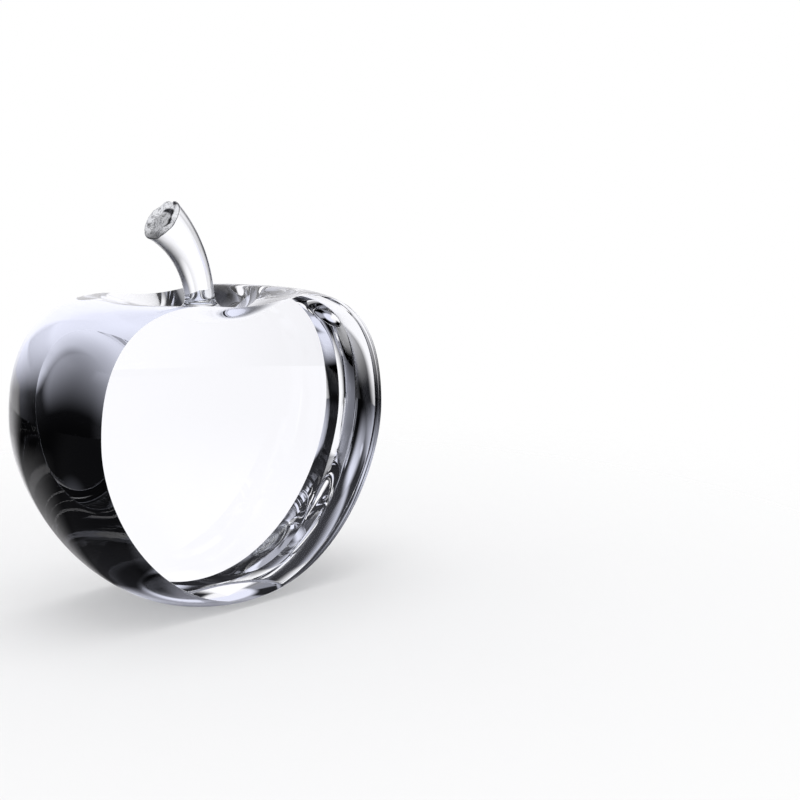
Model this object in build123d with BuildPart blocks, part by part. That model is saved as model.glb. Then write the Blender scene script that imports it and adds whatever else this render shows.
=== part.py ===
from build123d import *
import os
from math import cos, sin, radians

os.makedirs("parts", exist_ok=True)

# A clear glass apple: a solid of revolution ground flat at the front and the back,
# with a bent glass stem bonded into the dimple on top.
# Millimetres. +Z is up, the origin is the middle of the base, the front face looks along -Y.

# Body
body_width = 90.0        # across the widest part
body_depth = 38.0        # from the front face to the back face
widest_z = 43.6          # height of the widest part
lip_z = 71.85            # height of the lip around the dimple
lip_r = 23.7             # radius of the lip
dimple_depth = 5.05      # from the lip down to the seat of the stem
base_r = 14.8            # radius of the flat base
base_rise = 20.8         # angle at which the wall leaves the base, in degrees
arris = 0.2              # rounding of the edges of the two flat faces

# Pull of each curve of the outline, as a share of the span it crosses
pull_base = 0.656
pull_below_widest = 0.353
pull_above_widest = 0.792
pull_lip_out = 0.453
pull_lip_in = 0.16
pull_seat = 0.12

# Stem
stem_lead = 2.2          # straight run above the foot, before the bend
stem_rise = 20.8         # from the start of the bend up to the middle of the cut end
stem_turn = 53.5         # how far the stem bends over towards -X, in degrees
stem_low_r = 3.45        # radius just above the foot
stem_mid_r = 4.1         # radius a little past half way
stem_mid_at = 0.55       # where that is, as a share of the stem's length
stem_end_r = 5.4         # radius at the cut end
stem_end_edge = 0.35     # broken edge of the cut end
foot_r = 6.4             # radius of the flared foot
foot_rim = 1.15          # height of the foot's straight rim
foot_height = 3.75       # height at which the flare runs into the stem
flare_tuck = 0.1         # how far the top of the flare lies inside the stem
flare_hollow = 0.35      # how far the flare is hollowed, from 0 for a cone to 1

# Bond between the foot and the body
bond_film = 0.15         # thickness under the foot
bead_width = 0.5         # clear bead squeezed out around the foot
bead_height = 0.4
seat_margin = 0.45       # ground seat showing around the bead

# Sizes that follow from the ones above
body_r = body_width / 2
seat_z = lip_z - dimple_depth
bead_r = foot_r + bead_width
seat_r = bead_r + seat_margin
foot_z = seat_z + bond_film
flare_r = stem_low_r - flare_tuck
flare_pull = (1 - flare_hollow) / 2
flare_pull_r = flare_r + flare_pull * (foot_r - flare_r)
flare_pull_z = foot_z + foot_rim + flare_pull * (foot_height - foot_rim)
bend_z = foot_z + stem_lead
bend_r = stem_rise / sin(radians(stem_turn))
base_run = pull_base * (body_r - base_r)
base_pull_r = base_r + base_run * cos(radians(base_rise))
base_pull_z = base_run * sin(radians(base_rise))
lip_span = body_r - lip_r
dimple_span = lip_r - seat_r

# Body: half outline turned about Z, then cut to its depth
with BuildPart() as apple_body:
    with BuildSketch(Plane.XZ):
        with BuildLine():
            Polyline((seat_r, seat_z), (0, seat_z), (0, 0), (base_r, 0))
            Bezier(
                (base_r, 0),
                (base_pull_r, base_pull_z),
                (body_r, widest_z * (1 - pull_below_widest)),
                (body_r, widest_z),
            )
            Bezier(
                (body_r, widest_z),
                (body_r, widest_z + pull_above_widest * (lip_z - widest_z)),
                (lip_r + pull_lip_out * lip_span, lip_z),
                (lip_r, lip_z),
            )
            Bezier(
                (lip_r, lip_z),
                (lip_r - pull_lip_in * dimple_span, lip_z),
                (seat_r + pull_seat * dimple_span, seat_z),
                (seat_r, seat_z),
            )
        make_face()
    revolve(axis=Axis.Z)
    Box(
        2 * body_width,
        body_depth,
        2 * lip_z,
        align=(Align.CENTER, Align.CENTER, Align.CENTER),
        mode=Mode.INTERSECT,
    )
    flat_faces = apple_body.faces().sort_by(Axis.Y)
    fillet(flat_faces[0].edges() + flat_faces[-1].edges(), radius=arris)
apple_body.part.label = "apple_body"
export_step(apple_body.part, "parts/apple_body.step")

# Stem: a flared foot, and a round rod that rises out of it and widens along an arc
with BuildPart() as stem:
    with BuildSketch(Plane.XZ):
        with BuildLine():
            Polyline(
                (flare_r, foot_z + foot_height),
                (0, foot_z + foot_height),
                (0, foot_z),
                (foot_r, foot_z),
                (foot_r, foot_z + foot_rim),
            )
            Bezier(
                (foot_r, foot_z + foot_rim),
                (flare_pull_r, flare_pull_z),
                (flare_r, foot_z + foot_height),
            )
        make_face()
    revolve(axis=Axis.Z)
    with BuildLine(Plane.XZ) as bend:
        JernArc((0, bend_z), (0, 1), bend_r, stem_turn)
    for at, ring_r in ((0, stem_low_r), (stem_mid_at, stem_mid_r), (1, stem_end_r)):
        with BuildSketch(Plane(bend.line @ at, x_dir=(0, 1, 0), z_dir=bend.line % at)):
            Circle(ring_r)
    sweep(path=bend.line, multisection=True)
    end_face = stem.faces().filter_by(GeomType.PLANE).sort_by(Axis.Z)[-1]
    chamfer(end_face.edges(), length=stem_end_edge)
stem.part.label = "stem"
export_step(stem.part, "parts/stem.step")

# Bond: thin film under the foot with a small bead around its rim
with BuildPart() as bond:
    with BuildSketch(Plane.XZ):
        with BuildLine():
            Polyline(
                (foot_r, foot_z + bead_height),
                (foot_r, foot_z),
                (0, foot_z),
                (0, seat_z),
                (bead_r, seat_z),
            )
            Bezier(
                (bead_r, seat_z),
                (foot_r, seat_z + bond_film),
                (foot_r, foot_z + bead_height),
            )
        make_face()
    revolve(axis=Axis.Z)
bond.part.label = "bond"
export_step(bond.part, "parts/bond.step")
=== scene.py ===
import math
import bpy
import numpy as np
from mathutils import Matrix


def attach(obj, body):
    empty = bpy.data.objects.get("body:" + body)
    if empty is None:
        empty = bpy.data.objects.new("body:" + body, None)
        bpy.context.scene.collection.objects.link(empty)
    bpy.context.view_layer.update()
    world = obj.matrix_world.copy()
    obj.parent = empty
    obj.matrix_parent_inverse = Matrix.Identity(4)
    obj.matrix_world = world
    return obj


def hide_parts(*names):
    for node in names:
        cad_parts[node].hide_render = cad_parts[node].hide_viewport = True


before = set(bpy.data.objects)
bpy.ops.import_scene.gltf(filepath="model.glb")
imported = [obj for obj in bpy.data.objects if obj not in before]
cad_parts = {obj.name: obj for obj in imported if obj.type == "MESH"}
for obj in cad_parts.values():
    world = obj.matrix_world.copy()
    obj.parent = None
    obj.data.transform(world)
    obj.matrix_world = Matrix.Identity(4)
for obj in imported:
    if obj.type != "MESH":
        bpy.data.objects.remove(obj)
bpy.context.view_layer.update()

print("frame loaded, nodes:", sorted(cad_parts))


def linear(hexColour):  # sRGB hex to linear RGBA
    c = np.array([int(hexColour[i:i + 2], 16) for i in (1, 3, 5)]) / 255.0
    c = np.where(c <= 0.04045, c / 12.92, ((c + 0.055) / 1.055) ** 2.4)
    return (float(c[0]), float(c[1]), float(c[2]), 1.0)


# adds one node: its kind, its settings, fixed values for its inputs, and links into them
def addNode(tree, kind, settings=None, inputs=None, links=None):
    node = tree.nodes.new(kind)
    for key, value in (settings or {}).items():
        setattr(node, key, value)
    for key, value in (inputs or {}).items():
        node.inputs[key].default_value = value
    for key, source in (links or {}).items():
        tree.links.new(source, node.inputs[key])
    return node


def newMaterial(name):  # empty node tree with its output
    material = bpy.data.materials.new(name)
    material.use_nodes = True
    material.node_tree.nodes.clear()
    return material, material.node_tree, addNode(material.node_tree, "ShaderNodeOutputMaterial")


def cubic(p0, p1, p2, p3, count):  # cubic curve from p0 to p3, pulled by p1 and p2
    t = np.linspace(0.0, 1.0, count)[:, None]
    p0, p1, p2, p3 = (np.array(p, float) for p in (p0, p1, p2, p3))
    return (1 - t) ** 3 * p0 + 3 * (1 - t) ** 2 * t * p1 + 3 * (1 - t) * t * t * p2 + t ** 3 * p3


# a closed skin from rows of points: each row is a ring, and the first and last ring close on a pole
def ringMesh(name, rings, poleLow, poleHigh, normals=None):
    rows, columns = rings.shape[:2]
    points = np.vstack([rings.reshape(-1, 3), poleLow, poleHigh])
    row, column = np.meshgrid(np.arange(rows - 1), np.arange(columns), indexing="ij")
    beside = (column + 1) % columns
    here = row * columns
    above = here + columns
    quads = np.stack([here + column, here + beside, above + beside, above + column], -1).reshape(-1, 4)
    first = np.arange(columns)
    second = (first + 1) % columns
    low = np.stack([np.full(columns, rows * columns), second, first], -1)
    top = (rows - 1) * columns
    high = np.stack([np.full(columns, rows * columns + 1), top + first, top + second], -1)
    mesh = bpy.data.meshes.new(name)
    mesh.vertices.add(len(points))
    mesh.vertices.foreach_set("co", points.ravel())
    corners = np.concatenate([quads.ravel(), low.ravel(), high.ravel()])
    counts = np.concatenate([np.full(len(quads), 4), np.full(2 * columns, 3)])
    mesh.loops.add(len(corners))
    mesh.loops.foreach_set("vertex_index", corners.astype(np.int32))
    mesh.polygons.add(len(counts))
    mesh.polygons.foreach_set("loop_start", (np.cumsum(counts) - counts).astype(np.int32))
    mesh.polygons.foreach_set("loop_total", counts.astype(np.int32))
    mesh.polygons.foreach_set("use_smooth", np.ones(len(counts), bool))
    mesh.update(calc_edges=True)
    mesh.validate()
    if normals is not None:
        mesh.normals_split_custom_set_from_vertices(normals.tolist())
    piece = bpy.data.objects.new(name, mesh)
    bpy.context.scene.collection.objects.link(piece)
    print("made", name, len(mesh.polygons), "faces")
    return piece


# apple body, in metres and degrees
apple = {
    "halfWidth": 0.045, "halfDepth": 0.019,      # sizes as in the solids
    "widestZ": 0.0436, "lipZ": 0.07185, "lipR": 0.0237,
    "dimpleDepth": 0.00505, "seatR": 0.00735,
    "baseR": 0.0148, "baseRise": 20.8,
    "pullBase": 0.656, "pullBelow": 0.353, "pullAbove": 0.792,      # shares of the span that a curve crosses
    "pullLipOut": 0.453, "pullLipIn": 0.16, "pullSeat": 0.12,
    "edgeRound": 0.00002, "baseSoftening": 0.0016,
    "curvePoints": 3000, "outlinePoints": 12001,      # points of each curve, and of the whole outline
    "midZ": 0.040, "searchFrom": 0.012, "searchTo": 0.06, "halvings": 48,      # search out from the middle
    "columns": 704, "rimRows": 108, "edgeRows": 7,
    "faceShares": (0.12, 0.35, 0.62, 0.85, 0.96, 0.995),      # rings on the flat faces, out from the middle
}


# half outline from the middle of the base out, up and back to the middle of the seat:
# a flat base, one cubic up to the widest point, one over the shoulder to the lip, one down to the seat;
# evenly spaced along its length, with a running mean that softens the base's edge
def appleOutline(sizes):
    wide, widestZ = sizes["halfWidth"], sizes["widestZ"]
    lipR, lipZ = sizes["lipR"], sizes["lipZ"]
    seatR, seatZ = sizes["seatR"], lipZ - sizes["dimpleDepth"]
    baseR, rise = sizes["baseR"], math.radians(sizes["baseRise"])
    run = sizes["pullBase"] * (wide - baseR)
    lipSpan, dimpleSpan = wide - lipR, lipR - seatR
    count = sizes["curvePoints"]
    flank = cubic((baseR, 0), (baseR + run * math.cos(rise), run * math.sin(rise)),
                  (wide, widestZ * (1 - sizes["pullBelow"])), (wide, widestZ), count)
    shoulder = cubic((wide, widestZ), (wide, widestZ + sizes["pullAbove"] * (lipZ - widestZ)),
                     (lipR + sizes["pullLipOut"] * lipSpan, lipZ), (lipR, lipZ), count)
    dimple = cubic((lipR, lipZ), (lipR - sizes["pullLipIn"] * dimpleSpan, lipZ),
                   (seatR + sizes["pullSeat"] * dimpleSpan, seatZ), (seatR, seatZ), count)
    line = np.vstack([[(0.0, 0.0)], flank, shoulder[1:], dimple[1:], [(0.0, seatZ)]])
    along = np.concatenate([[0.0], np.cumsum(np.hypot(*np.diff(line, axis=0).T))])
    even = np.linspace(0.0, along[-1], sizes["outlinePoints"])
    line = np.stack([np.interp(even, along, line[:, 0]), np.interp(even, along, line[:, 1])], -1)
    span = int(sizes["baseSoftening"] / (even[1] - even[0])) | 1      # an odd number of points
    mirrored = line * [-1.0, 1.0]
    padded = np.vstack([mirrored[span:0:-1], line, mirrored[-2:-span - 2:-1]])
    kernel = np.ones(span) / span
    soft = np.stack([np.convolve(padded[:, n], kernel, "same") for n in (0, 1)], -1)[span:-span]
    soft[0, 0] = soft[-1, 0] = 0.0
    return soft


# skin of the body: columns stand around the Y axis through the middle; each runs from the front's middle
# out over the flat face, round its small edge, across the rim, round the back edge and in over the back
def appleSkin(sizes):
    line = appleOutline(sizes)
    midZ, half, edge = sizes["midZ"], sizes["halfDepth"], sizes["edgeRound"]
    slope = np.gradient(line, axis=0)
    facing = np.stack([slope[:, 1], -slope[:, 0]], -1)
    facing /= np.linalg.norm(facing, axis=1)[:, None]
    bearing = np.arctan2(line[:, 1] - midZ, line[:, 0])
    reach = np.hypot(line[:, 0], line[:, 1] - midZ)

    def offSkin(x, y, z):  # signed distance from the turned outline, and its outward direction
        r = np.hypot(x, y)
        angle = np.arctan2(z - midZ, r)
        outR, outZ = np.interp(angle, bearing, facing[:, 0]), np.interp(angle, bearing, facing[:, 1])
        size = np.hypot(outR, outZ)
        outR, outZ = outR / size, outZ / size
        lean = outR * np.cos(angle) + outZ * np.sin(angle)
        away = (np.hypot(r, z - midZ) - np.interp(angle, bearing, reach)) * lean
        safe = np.maximum(r, 1e-9)             # no division by zero on the axis
        return away, np.stack([outR * x / safe, outR * y / safe, outZ], -1)

    turn = np.radians(np.linspace(90.0, 0.0, sizes["edgeRows"]))
    edgeY = half - edge + edge * np.sin(turn)  # quarter round between flat face and rim
    edgeIn = -edge + edge * np.cos(turn)
    rimY = np.linspace(-(half - edge), half - edge, sizes["rimRows"])[1:-1]
    rowY = np.concatenate([-edgeY, rimY, edgeY[::-1]])
    rowIn = np.concatenate([edgeIn, np.zeros(len(rimY)), edgeIn[::-1]])
    flatness = np.concatenate([np.sin(turn), np.zeros(len(rimY)), np.sin(turn[::-1])])
    around = np.linspace(0.0, 2 * math.pi, sizes["columns"], endpoint=False)
    y = np.repeat(rowY[:, None], len(around), 1)
    low, high = np.full(y.shape, sizes["searchFrom"]), np.full(y.shape, sizes["searchTo"])
    for step in range(sizes["halvings"]):      # halves the span in which each column meets the skin
        mid = (low + high) / 2
        away, _ = offSkin(mid * np.cos(around), y, midZ + mid * np.sin(around))
        outside = away > rowIn[:, None]
        high, low = np.where(outside, mid, high), np.where(outside, low, mid)
    x, z = mid * np.cos(around), np.maximum(midZ + mid * np.sin(around), 0.0)
    _, direction = offSkin(x, y, z)
    flat = np.sign(rowY)[:, None, None] * np.array([0.0, 1.0, 0.0])
    normal = flatness[:, None, None] * flat + np.sqrt(1 - flatness ** 2)[:, None, None] * direction
    normal /= np.linalg.norm(normal, axis=2)[:, :, None]
    ring = np.stack([x, y, z], -1)
    shares = np.array(sizes["faceShares"])[:, None, None]
    middle = np.array([0.0, 0.0, midZ])
    front = (ring[0] - middle) * (shares * [1, 0, 1] + [0, 1, 0]) + middle
    back = (ring[-1] - middle) * (shares[::-1] * [1, 0, 1] + [0, 1, 0]) + middle
    still = np.ones(front.shape) * [0.0, 1.0, 0.0]
    rings = np.vstack([front, ring, back])[:, ::-1]      # this way round the faces point outwards
    normals = np.vstack([-still, normal, still])[:, ::-1].reshape(-1, 3)
    normals = np.vstack([normals, [(0, -1, 0)], [(0, 1, 0)]])
    return rings, normals, (0.0, -half, midZ), (0.0, half, midZ)


rings, normals, lowPole, highPole = appleSkin(apple)
appleBody = ringMesh("appleBody", rings, lowPole, highPole, normals)
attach(appleBody, "root")
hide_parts("apple_body")

# stem, in metres and degrees, but its chips in millimetres
stem = {
    "footZ": 0.06695, "lead": 0.0022, "rise": 0.0208, "turn": 53.5,      # sizes as in the solids
    "lowR": 0.00345, "midR": 0.0041, "midAt": 0.55, "endR": 0.0054, "endEdge": 0.00035,
    "footR": 0.0064, "footRim": 0.00115, "footHeight": 0.00375, "footEdge": 0.00012,
    "flareR": 0.00335, "flareHollow": 0.35, "flareBlend": 0.00025, "flareFade": 0.0004,
    "columns": 256, "shaftRows": 150, "endRows": 96, "flarePoints": 200, "sharpAngle": 50,
    "underShares": (0.3, 0.7, 0.95, 1.0), "rimShares": (0.0, 0.3, 0.7, 1.0),      # rings on the foot
    "shaftSpacing": 1.35, "endSpacing": 0.8,      # powers that draw rings together at foot and rim
    # bites out of the cut end: place across it, radius and depth of each ball
    "bites": [
        (-2.4, 1.2, 4.6, 0.8), (1.6, -1.2, 4.4, 0.62), (2.6, 2.6, 3.4, 0.6), (-1.0, -3.8, 3.0, 0.55),
        (4.6, 0.4, 1.6, 0.6), (-4.6, -1.8, 2.0, 0.4),
    ],
    "biteSoft": 0.00006, "biteCap": 60.0,      # how softly bites run together, and a cap on the exponent
    # painted light and shade of the chipped end, in place of what its chips would refract: a pale ground,
    # and soft round spots of painted shade and highlight: place, radius, softness and tone of each
    "ground": 0.8,
    "paintedSpots": [
        (3.4, 1.2, 2.6, 1.4, 1.0), (-5.4, -0.6, 3.2, 1.6, 0.2), (-1.7, 3.5, 0.45, 0.3, 0.25),
        (0.45, -0.9, 2.75, 0.2, 0.02), (-0.45, -0.1, 2.6, 0.2, 0.55),
        (2.2, -5.0, 1.9, 0.5, 1.6), (4.9, -2.0, 1.0, 0.25, 0.02),
    ],
}


# depth of the chipped end below its highest plane: ball-shaped bites, run together by a soft maximum
def biteDepth(sizes, u, v):
    bites = np.array(sizes["bites"]) / 1000.0
    soft = sizes["biteSoft"]
    apart = (u[..., None] - bites[:, 0]) ** 2 + (v[..., None] - bites[:, 1]) ** 2
    ball = np.sqrt(np.maximum(bites[:, 2] ** 2 - apart, 0.0)) - (bites[:, 2] - bites[:, 3])
    return soft * np.log(1 + np.exp(np.minimum(ball / soft, sizes["biteCap"])).sum(-1))


# painted light and shade of the chipped end: each spot lies over the ones before it, full in its middle and
# soft at its rim
def paintedChipShading(sizes, u, v):
    tone = np.full(u.shape, sizes["ground"])
    for spotU, spotV, radius, soft, shade in sizes["paintedSpots"]:
        off = np.hypot(u * 1000 - spotU, v * 1000 - spotV)
        cover = np.clip((radius + soft - off) / (2 * soft), 0.0, 1.0)
        tone += cover * cover * (3 - 2 * cover) * (shade - tone)
    return tone


# skin of the stem: rings square to an arc in the XZ plane; the radius is a smooth curve through three sizes,
# widened at the bottom by the foot's flare; the last rings run in over the chipped end
def stemSkin(sizes):
    lead, endR, endEdge = sizes["lead"], sizes["endR"], sizes["endEdge"]
    footR, footRim, footEdge = sizes["footR"], sizes["footRim"], sizes["footEdge"]
    bendR = sizes["rise"] / math.sin(math.radians(sizes["turn"]))
    length = lead + bendR * math.radians(sizes["turn"])
    theta = np.linspace(0.0, 2 * math.pi, sizes["columns"], endpoint=False)
    rimDepth = biteDepth(sizes, endR * np.cos(theta), endR * np.sin(theta))
    top = length - endEdge - rimDepth

    climb = np.linspace(0.0, 1.0, sizes["shaftRows"]) ** sizes["shaftSpacing"]
    rim = np.array(sizes["rimShares"]) * (footRim - footEdge) + footEdge
    shaft = footRim + climb[1:, None] * (top - footRim)
    up = np.vstack([np.repeat(rim[:, None], len(theta), 1), shaft])
    share = np.clip((up - lead) / (length - lead), 0.0, None)
    mid = sizes["midAt"]                       # parabola through the low, middle and end radius
    rod = (sizes["lowR"] * (share - mid) * (share - 1) / mid
           + sizes["midR"] * share * (share - 1) / (mid * (mid - 1))
           + endR * share * (share - mid) / (1 - mid))
    onFlare = np.clip((up - footRim) / (sizes["footHeight"] - footRim), 0.0, 1.0)
    along = np.linspace(0.0, 1.0, sizes["flarePoints"])
    hollow = 0.5 * (1 - sizes["flareHollow"])  # quadratic curve from rim to rod, drawn in to its corner
    curveR = (1 - along) ** 2 + 2 * along * (1 - along) * hollow
    curveZ = 2 * along * (1 - along) * hollow + along ** 2
    flare = sizes["flareR"] + np.interp(onFlare, curveZ, curveR) * (footR - sizes["flareR"])
    blend = sizes["flareBlend"]                # soft maximum of rod and flare, fading out above the flare
    fade = np.where(onFlare < 1, 1, np.exp(-(up - sizes["footHeight"]) / sizes["flareFade"]))
    radius = rod + blend * np.logaddexp(0.0, (flare - rod) / blend) * fade
    radius = np.minimum(radius, footR)
    radius[up <= footRim] = footR

    def place(height, ringR):                  # rings to points
        bend = np.maximum(height - lead, 0.0) / bendR
        centreX = -bendR * (1 - np.cos(bend))
        centreZ = sizes["footZ"] + np.minimum(height, lead) + bendR * np.sin(bend)
        x = centreX + ringR * np.cos(theta) * np.cos(bend)
        z = centreZ + ringR * np.cos(theta) * np.sin(bend)
        return np.stack([x, ringR * np.sin(theta) * np.ones_like(height), z], -1)

    side = place(up, radius)
    under = np.array(sizes["underShares"])[:, None] * (footR - footEdge) * np.ones(len(theta))
    bottom = place(np.zeros(under.shape), under)
    inward = np.linspace(1.0, 0.0, sizes["endRows"])[:-1, None] ** sizes["endSpacing"]
    faceR = inward * (endR - endEdge)
    faceU, faceV = faceR * np.cos(theta), faceR * np.sin(theta)
    end = place(length - biteDepth(sizes, faceU, faceV), faceR * np.ones(len(theta)))
    middleDepth = biteDepth(sizes, np.zeros((1, 1)), np.zeros((1, 1)))
    middle = place(length - middleDepth, np.zeros((1, 1)))[0, 0]
    rings = np.vstack([bottom, side, end])
    tone = np.zeros(rings.shape[:2])           # 0 on the clear shaft, the painted shade and highlight on the chipped end
    tone[-len(end):] = paintedChipShading(sizes, faceU, faceV)
    return rings, tone, (0.0, 0.0, sizes["footZ"]), tuple(middle)


rings, tone, lowPole, highPole = stemSkin(stem)
stemPiece = ringMesh("glassStem", rings, lowPole, highPole)
# the chipped end's painted shade and highlight, kept on its points
paintedChipShadeMark = stemPiece.data.attributes.new("paintedChipShade", "FLOAT", "POINT")
paintedChipShadeMark.data.foreach_set("value", np.concatenate([tone.ravel(), [0.0, tone[-1].mean()]]))
stemPiece.data.set_sharp_from_angle(angle=math.radians(stem["sharpAngle"]))
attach(stemPiece, "root")
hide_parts("stem")

# bond, in metres and degrees
bond = {
    "seatZ": 0.0668, "film": 0.00015, "footR": 0.0064, "beadR": 0.0069, "beadHeight": 0.0004,
    "gap": 0.00002,                            # left free all round, so that no faces coincide
    "wallStep": 0.0001, "edgeShare": 0.9, "coreShare": 0.5,
    "columns": 96, "beadRows": 14, "sharpAngle": 40,
}


# skin of the bond: a thin disc whose rim climbs the foot in a hollow quadratic curve, turned about Z
def bondSkin(sizes):
    gap, footR = sizes["gap"], sizes["footR"]
    wallR = footR + gap
    low, film = sizes["seatZ"] + gap, sizes["seatZ"] + sizes["film"] - gap
    t = np.linspace(0.0, 1.0, sizes["beadRows"])
    beadR = (1 - t) ** 2 * sizes["beadR"] + 2 * t * (1 - t) * wallR + t * t * wallR
    beadZ = (1 - t) ** 2 * low + 2 * t * (1 - t) * (film + gap) + t * t * (film + sizes["beadHeight"])
    bead = np.stack([beadR, beadZ], -1)
    wall = np.array([(wallR, film + sizes["wallStep"]), (wallR, film)])
    inner = np.array([(footR * sizes["edgeShare"], film), (footR * sizes["coreShare"], film)])
    outer = np.array([(footR * sizes["coreShare"], low), (footR, low)])
    line = np.vstack([outer, bead, wall, inner])
    theta = np.linspace(0.0, 2 * math.pi, sizes["columns"], endpoint=False)
    radius, height = line[:, :1], np.repeat(line[:, 1:], len(theta), 1)
    rings = np.stack([radius * np.cos(theta), radius * np.sin(theta), height], -1)
    return rings, (0.0, 0.0, low), (0.0, 0.0, film)


rings, lowPole, highPole = bondSkin(bond)
bondPiece = ringMesh("stemBond", rings, lowPole, highPole)
bondPiece.data.set_sharp_from_angle(angle=math.radians(bond["sharpAngle"]))
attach(bondPiece, "root")
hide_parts("bond")

# materials; patterns in millimetres, on Object coordinates in metres
perMetre = 1000.0

# polished crown glass: water clear and mirror smooth; faint cords in it bend what shows through by a hair
crown = {
    "tint": "#fdfeff", "ior": 1.52,
    "cordMm": 16.67, "cordStretch": 0.35,      # cords this far apart, and about three times as long upwards
    "cordDetail": 2.0, "cordRoughness": 0.4, "cordStrength": 0.008, "cordDepth": 0.0004,
}
crownGlass, tree, output = newMaterial("polishedCrownGlass")
place = addNode(tree, "ShaderNodeTexCoord").outputs["Object"]
stretch = addNode(tree, "ShaderNodeMapping", None, {"Scale": (1.0, 1.0, crown["cordStretch"])},
                  {"Vector": place}).outputs[0]
cords = addNode(tree, "ShaderNodeTexNoise", None,
                {"Scale": perMetre / crown["cordMm"], "Detail": crown["cordDetail"],
                 "Roughness": crown["cordRoughness"]}, {"Vector": stretch}).outputs[0]
bend = addNode(tree, "ShaderNodeBump", None,
               {"Strength": crown["cordStrength"], "Distance": crown["cordDepth"]}, {"Height": cords})
glass = addNode(tree, "ShaderNodeBsdfPrincipled", None,
                {"Base Color": linear(crown["tint"]), "Roughness": 0.0, "IOR": crown["ior"],
                 "Transmission Weight": 1.0}, {"Normal": bend.outputs[0]})
tree.links.new(glass.outputs["BSDF"], output.inputs["Surface"])
appleBody.data.materials.append(crownGlass)

# fire polished glass of the stem: smooth and clear on the shaft; the chipped end scatters a cool grey
# painted with light and shade from near black to near white, with fine cracks where a noise crosses its
# middle
fire = {
    "tint": "#fdfeff", "ior": 1.52,
    "darkest": "#0c0c10", "palest": "#fafbff", "leastPaintedShade": 0.005,
    "clearness": 0.1, "dullness": 0.2,         # of the chipped end's glass
    "crackMm": 1.818, "crackDetail": 2.0, "crackTwist": 1.2, "crackWidth": 0.05,
    "crackTone": 0.35, "betweenTone": 1.1,     # times the tone in a crack and away from one
}
stemGlass, tree, output = newMaterial("firePolishedStemGlass")
place = addNode(tree, "ShaderNodeTexCoord").outputs["Object"]
# reads the chipped end's painted shade and highlight
paintedChipShade = addNode(tree, "ShaderNodeAttribute", {"attribute_name": "paintedChipShade"}).outputs["Fac"]
chipped = addNode(tree, "ShaderNodeMath", {"operation": "GREATER_THAN"},
                  {1: fire["leastPaintedShade"]}, {0: paintedChipShade}).outputs[0]
hills = addNode(tree, "ShaderNodeTexNoise", None,
                {"Scale": perMetre / fire["crackMm"], "Detail": fire["crackDetail"],
                 "Distortion": fire["crackTwist"]}, {"Vector": place}).outputs[0]
level = addNode(tree, "ShaderNodeMath", {"operation": "SUBTRACT"}, {1: 0.5}, {0: hills}).outputs[0]
off = addNode(tree, "ShaderNodeMath", {"operation": "ABSOLUTE"}, None, {0: level}).outputs[0]
faint = addNode(tree, "ShaderNodeMapRange", None,
                {"From Max": fire["crackWidth"], "To Min": fire["crackTone"], "To Max": fire["betweenTone"]},
                {"Value": off}).outputs[0]
shade = addNode(tree, "ShaderNodeMath", {"operation": "MULTIPLY"}, None, {0: paintedChipShade, 1: faint}).outputs[0]
grey = addNode(tree, "ShaderNodeMix", {"data_type": "RGBA"},
               {6: linear(fire["darkest"]), 7: linear(fire["palest"])}, {0: shade}).outputs[2]
tone = addNode(tree, "ShaderNodeMix", {"data_type": "RGBA"}, {6: linear(fire["tint"])},
               {0: chipped, 7: grey}).outputs[2]
clear = addNode(tree, "ShaderNodeMapRange", None, {"To Min": 1.0, "To Max": fire["clearness"]},
                {"Value": chipped}).outputs[0]
rough = addNode(tree, "ShaderNodeMath", {"operation": "MULTIPLY"}, {1: fire["dullness"]},
                {0: chipped}).outputs[0]
glass = addNode(tree, "ShaderNodeBsdfPrincipled", None, {"IOR": fire["ior"]},
                {"Base Color": tone, "Transmission Weight": clear, "Roughness": rough})
tree.links.new(glass.outputs["BSDF"], output.inputs["Surface"])
stemPiece.data.materials.append(stemGlass)

# clear cured adhesive: as clear as the glass and a little duller, with pinhole bubbles in it;
# they are drawn coarser than real ones, so that they can show
resin = {
    "tint": "#f8f9f7", "ior": 1.5,
    "bubbleMm": 0.714, "bubbleFrom": 0.05, "bubbleTo": 0.3, "bubbleDullness": 0.2, "dullness": 0.03,
}
adhesive, tree, output = newMaterial("clearCuredAdhesive")
place = addNode(tree, "ShaderNodeTexCoord").outputs["Object"]
bubbles = addNode(tree, "ShaderNodeTexVoronoi", None, {"Scale": perMetre / resin["bubbleMm"]},
                  {"Vector": place}).outputs["Distance"]
dull = addNode(tree, "ShaderNodeMapRange", None,
               {"From Min": resin["bubbleFrom"], "From Max": resin["bubbleTo"],
                "To Min": resin["bubbleDullness"], "To Max": resin["dullness"]}, {"Value": bubbles})
cured = addNode(tree, "ShaderNodeBsdfPrincipled", None,
                {"Base Color": linear(resin["tint"]), "IOR": resin["ior"], "Transmission Weight": 1.0},
                {"Roughness": dull.outputs[0]})
tree.links.new(cured.outputs["BSDF"], output.inputs["Surface"])
bondPiece.data.materials.append(adhesive)
print("materials set")

# camera: where it stands around the widest part, where it looks, and its lens; degrees and metres
view = {
    "azimuth": 36.679, "elevation": 10.629, "distance": 0.36522, "pivotZ": 0.0436,
    "yaw": 44.219, "pitch": 10.252,
    "focalPixels": 1517.6, "imagePixels": 800.0, "sensorMm": 36.0,
}
cameraData = bpy.data.cameras.new("camera")
camera = bpy.data.objects.new("camera", cameraData)
bpy.context.scene.collection.objects.link(camera)
cameraData.sensor_width = view["sensorMm"]
cameraData.lens = view["focalPixels"] / view["imagePixels"] * view["sensorMm"]
side, rise = math.radians(view["azimuth"]), math.radians(view["elevation"])
camera.location = (-view["distance"] * math.sin(side) * math.cos(rise),
                   -view["distance"] * math.cos(side) * math.cos(rise),
                   view["pivotZ"] + view["distance"] * math.sin(rise))
camera.rotation_euler = (math.radians(90.0 - view["pitch"]), 0.0, -math.radians(view["yaw"]))
bpy.context.scene.camera = camera
print("camera set")

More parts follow.
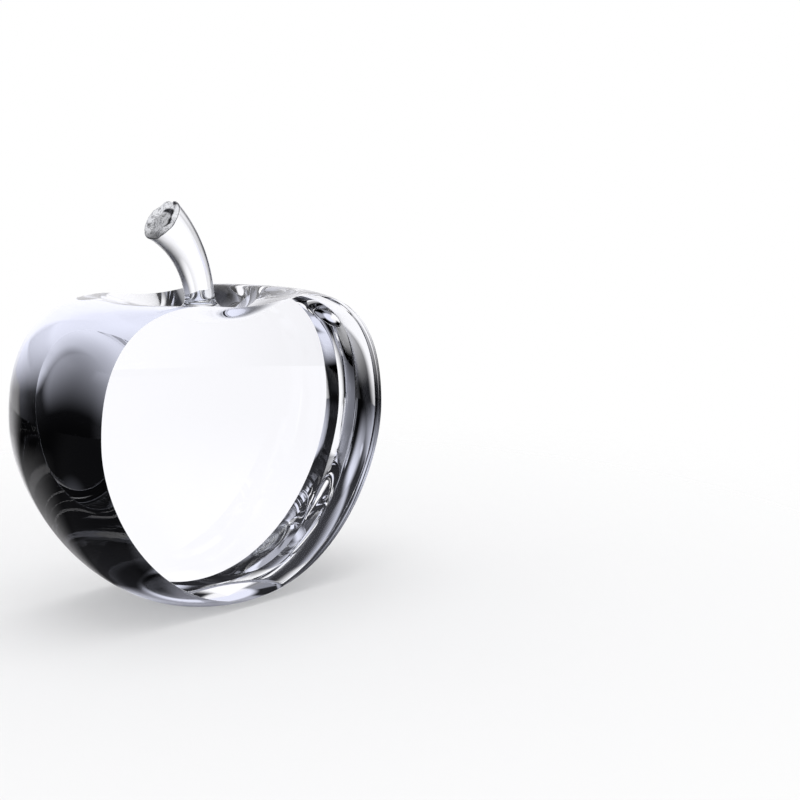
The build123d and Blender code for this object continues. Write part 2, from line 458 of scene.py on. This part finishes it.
# floor, lamp and world, in metres and degrees; degrees round are from straight behind the apple
studio = {
    "sheetR": 0.36, "sheetFull": 0.06, "sheetEnd": 0.24, "sheetColour": "#f8f8f9",
    "sheetWhite": "#fdfcff", "sheetCool": "#eceeff", "coolRound": (45, 85),      # tints of the painted pools of light, as the glass sees it; cooler away from behind
    "topSize": 0.9, "topHeight": 1.0, "topWatts": 2.2,
    "domeLevel": 0.84, "domeColour": "#ffffff", "room": "#060607",
    "bounces": 32, "mirrorBounces": 8,
    # painted pools of light that the sheet gives off where the glass sees it: degrees round, how soft the
    # two sides are, metres out over which the pool begins and over which it fades, level; the brightest one
    # shows; where pools begin some way out, the gap under the apple is painted shadow
    "paintedPools": [
        ((2, 58), (5, 8), None, (0.40, 0.90), 1.08),
        ((-12, 14), (10, 5), None, (0.15, 0.36), 1.08),
        ((-12, 14), (10, 5), None, (0.40, 0.90), 0.8),
        ((99, 154), (4, 11), (0.015, 0.022), (0.055, 0.240), 1.1),
        ((-170, -120), (9, 8), (0.013, 0.018), (0.035, 0.100), 1.0),
        ((-51, -12), (15, 8), (0.013, 0.018), (0.020, 0.200), 0.5),
        ((-130, -50), (8, 8), (0.013, 0.018), (0.019, 0.025), 1.0),
        ((-190, 190), (4, 4), None, (0.006, 0.009), 1.0),
        ((-134, -106), (6, 6), (0.030, 0.045), (0.050, 0.170), 0.95),
        ((60, 100), (6, 5), None, (0.40, 0.90), 0.3),
        ((150, 190), (8, 4), None, (0.40, 0.90), 0.45),
        ((-190, -160), (4, 8), None, (0.40, 0.90), 0.45),
        ((-168, -132), (8, 8), (0.105, 0.135), (0.40, 0.90), 0.45),
        ((-106, -60), (6, 8), None, (0.40, 0.90), 0.05),
    ],
    # soft white panels around: degrees round, how soft the two sides are, degrees up, how soft the lower
    # and upper edge are, level, tint; the brightest one shows
    "panels": [
        ((7, 54), (4, 22), (-60, 36), (8, 15), 1.13, "#fdfcff"),
        ((40, 63), (10, 11), (-60, 12), (5, 10), 1.1, "#fdfcff"),
        ((24, 84), (8, 14), (40, 70), (10, 16), 0.5, "#eceeff"),
        ((-14, 14), (22, 4), (-5, 7.9), (8, 1.5), 1.2, "#eceeff"),
        ((-1, 13), (3, 4), (-60, -8), (5, 3), 1.05, "#eceeff"),
        ((-9, 11), (5, 4), (-20, 0), (6, 3), 0.92, "#fdfcff"),
        ((-26, -15), (23, 3), (0, 8), (8, 7), 0.9, "#eceeff"),
        ((-54, -30), (9, 7), (12, 29), (15, 5), 1.0, "#eceeff"),
        ((-37, -29), (3, 3), (10.5, 15.5), (2, 2), 0.8, "#eceeff"),
        ((-35, 14), (6, 7), (24, 29), (3, 16), 1.1, "#eceeff"),
        ((107, 122), (14, 8), (45, 84), (12, 16), 0.5, "#eceeff"),
        ((-81, -71), (4, 3), (23, 29.5), (5, 1.2), 0.95, "#eceeff"),
        ((-103, -80), (4, 5), (-60, 14), (5, 8), 0.35, "#eceeff"),
        ((-210, -132), (5, 8), (-60, 10), (5, 8), 0.45, "#eceeff"),
        ((158, 210), (6, 5), (-60, 10), (5, 8), 0.45, "#eceeff"),
        ((30, 104), (20, 6), (-60, 4), (5, 6), 0.5, "#eceeff"),
        ((74, 106), (6, 6), (-10, 22), (6, 8), 0.07, "#eceeff"),
        ((-200, -76), (5, 6), (66, 100), (8, 5), 0.35, "#eceeff"),
        ((36, 200), (8, 5), (66, 100), (8, 5), 0.35, "#eceeff"),
    ],
}


# a round sheet in the floor's plane: rings of points about the middle, and a fan inside the first ring
def sheetMesh(name, radius, columns=96, rows=4):
    theta = np.linspace(0.0, 2 * math.pi, columns, endpoint=False)
    r = np.linspace(0.0, radius, rows + 1)[1:, None]
    rings = np.stack([r * np.cos(theta), r * np.sin(theta), 0.0 * r * theta], -1).reshape(-1, 3)
    row, column = np.meshgrid(np.arange(rows - 1), np.arange(columns), indexing="ij")
    beside = (column + 1) % columns
    here = row * columns
    outer = here + columns
    quads = np.stack([here + column, outer + column, outer + beside, here + beside], -1).reshape(-1, 4)
    fan = np.stack([np.full(columns, len(rings)), column[0], beside[0]], -1)
    mesh = bpy.data.meshes.new(name)
    mesh.from_pydata(np.vstack([rings, [(0, 0, 0)]]).tolist(), [], quads.tolist() + fan.tolist())
    sheet = bpy.data.objects.new(name, mesh)
    bpy.context.scene.collection.objects.link(sheet)
    return sheet


# two soft steps, up at the start of a span and down at its end
def between(value, span, soft):
    return [(value, span[0] - soft[0], span[0] + soft[0]), (value, span[1] + soft[1], span[1] - soft[1])]


# product of soft steps: each is 0 or 1 beyond its two ends and an S curve between them
def softSteps(tree, steps):
    product = None
    for value, start, end in steps:
        ramp = addNode(tree, "ShaderNodeMapRange", {"interpolation_type": "SMOOTHSTEP"},
                       {"From Min": start, "From Max": end, "To Min": 0.0, "To Max": 1.0},
                       {"Value": value}).outputs[0]
        product = ramp if product is None else addNode(
            tree, "ShaderNodeMath", {"operation": "MULTIPLY"}, None, {0: product, 1: ramp}).outputs[0]
    return product


# degrees round the Z axis from +Y, clockwise from above
def degreesRound(tree, x, y):
    turn = addNode(tree, "ShaderNodeMath", {"operation": "ARCTAN2"}, None, {0: x, 1: y})
    return addNode(tree, "ShaderNodeMath", {"operation": "DEGREES"}, None, {0: turn.outputs[0]}).outputs[0]


# matte white paper: pale and even to the camera; its rim fades out so that the white around takes over; to
# the glass it glows instead with painted pools of light and the painted shadow between them
floor = sheetMesh("floor", studio["sheetR"])
paper, tree, output = newMaterial("whitePaperWithPaintedPools")
place = addNode(tree, "ShaderNodeTexCoord").outputs["Object"]
axes = addNode(tree, "ShaderNodeSeparateXYZ", None, None, {0: place})
far = addNode(tree, "ShaderNodeVectorMath", {"operation": "LENGTH"}, None, {0: place}).outputs["Value"]
roundTo = degreesRound(tree, axes.outputs["X"], axes.outputs["Y"])
shown = softSteps(tree, [(far, studio["sheetEnd"], studio["sheetFull"])])
paintedPoolLevel = None
for span, soft, near, fade, level in studio["paintedPools"]:
    steps = between(roundTo, span, soft) + [(far, fade[1], fade[0])]
    if near:
        steps.append((far, near[0], near[1]))
    pool = softSteps(tree, steps)
    bright = addNode(tree, "ShaderNodeMath", {"operation": "MULTIPLY"}, {1: level}, {0: pool}).outputs[0]
    paintedPoolLevel = bright if paintedPoolLevel is None else addNode(
        tree, "ShaderNodeMath", {"operation": "MAXIMUM"}, None, {0: paintedPoolLevel, 1: bright}).outputs[0]
ray = addNode(tree, "ShaderNodeLightPath")
sheet = addNode(tree, "ShaderNodeBsdfDiffuse", None, {"Color": linear(studio["sheetColour"])})
clear = addNode(tree, "ShaderNodeBsdfTransparent")
paperShown = addNode(tree, "ShaderNodeMixShader", None, None,
                     {0: shown, 1: clear.outputs[0], 2: sheet.outputs[0]})
aside = addNode(tree, "ShaderNodeMath", {"operation": "ABSOLUTE"}, None, {0: roundTo}).outputs[0]
cool = softSteps(tree, [(aside, *studio["coolRound"])])
tone = addNode(tree, "ShaderNodeMix", {"data_type": "RGBA"},
               {6: linear(studio["sheetWhite"]), 7: linear(studio["sheetCool"])}, {0: cool}).outputs[2]
# the sheet glows with the painted pools of light for glossy and transmission rays; it is no lamp
paintedPoolGlow = addNode(tree, "ShaderNodeEmission", None, None, {"Color": tone, "Strength": paintedPoolLevel})
throughGlass = addNode(tree, "ShaderNodeMath", {"operation": "MAXIMUM"}, None,
                       {0: ray.outputs["Is Glossy Ray"], 1: ray.outputs["Is Transmission Ray"]})
mix = addNode(tree, "ShaderNodeMixShader", None, None,
              {0: throughGlass.outputs[0], 1: paperShown.outputs[0], 2: paintedPoolGlow.outputs[0]})
tree.links.new(mix.outputs[0], output.inputs["Surface"])
floor.data.materials.append(paper)

# one large soft lamp straight above; it lights the paper and leaves the glass dark above
lampData = bpy.data.lights.new("topLamp", "AREA")
lampData.shape, lampData.size, lampData.energy = "DISK", studio["topSize"], studio["topWatts"]
topLamp = bpy.data.objects.new("topLamp", lampData)
topLamp.location = (0.0, 0.0, studio["topHeight"])
topLamp.visible_glossy = topLamp.visible_transmission = False
bpy.context.scene.collection.objects.link(topLamp)

# world: white where the camera looks past the floor; the glass gathers a dim room with soft white panels
world = bpy.data.worlds.new("studio")
bpy.context.scene.world = world
world.use_nodes = True
tree = world.node_tree
tree.nodes.clear()
place = addNode(tree, "ShaderNodeTexCoord").outputs["Generated"]
axes = addNode(tree, "ShaderNodeSeparateXYZ", None, None, {0: place})
roundTo = degreesRound(tree, axes.outputs["X"], axes.outputs["Y"])
upTurn = addNode(tree, "ShaderNodeMath", {"operation": "ARCSINE"}, None, {0: axes.outputs["Z"]})
upTo = addNode(tree, "ShaderNodeMath", {"operation": "DEGREES"}, None, {0: upTurn.outputs[0]}).outputs[0]
glow = addNode(tree, "ShaderNodeCombineXYZ", None, dict(enumerate(linear(studio["room"])[:3]))).outputs[0]
for span, soft, rise, softRise, level, tint in studio["panels"]:
    panel = softSteps(tree, between(roundTo, span, soft) + between(upTo, rise, softRise))
    colour = [level * c for c in linear(tint)[:3]]
    lightFrom = addNode(tree, "ShaderNodeVectorMath", {"operation": "SCALE"}, {0: colour}, {"Scale": panel})
    glow = addNode(tree, "ShaderNodeVectorMath", {"operation": "MAXIMUM"}, None,
                   {0: glow, 1: lightFrom.outputs[0]}).outputs[0]
ray = addNode(tree, "ShaderNodeLightPath")
panels = addNode(tree, "ShaderNodeBackground", None, {"Strength": 1.0}, {"Color": glow})
level = addNode(tree, "ShaderNodeMapRange", None, {"To Min": studio["domeLevel"], "To Max": 1.0},
                {"Value": ray.outputs["Is Camera Ray"]})
white = addNode(tree, "ShaderNodeBackground", None, {"Color": linear(studio["domeColour"])},
                {"Strength": level.outputs[0]})
throughGlass = addNode(tree, "ShaderNodeMath", {"operation": "MAXIMUM"}, None,
                       {0: ray.outputs["Is Glossy Ray"], 1: ray.outputs["Is Transmission Ray"]})
throughGlass = addNode(tree, "ShaderNodeMath", {"operation": "SUBTRACT", "use_clamp": True}, None,
                       {0: throughGlass.outputs[0], 1: ray.outputs["Diffuse Depth"]})  # paper sees white
around = addNode(tree, "ShaderNodeMixShader", None, None,
                 {0: throughGlass.outputs[0], 1: white.outputs[0], 2: panels.outputs[0]})
addNode(tree, "ShaderNodeOutputWorld", None, None, {"Surface": around.outputs[0]})
print("studio set")

bpy.context.scene.view_settings.view_transform = "Standard"
bpy.context.scene.cycles.max_bounces = studio["bounces"]
bpy.context.scene.cycles.transmission_bounces = studio["bounces"]
bpy.context.scene.cycles.glossy_bounces = studio["mirrorBounces"]      # cuts long mirror paths in the glass
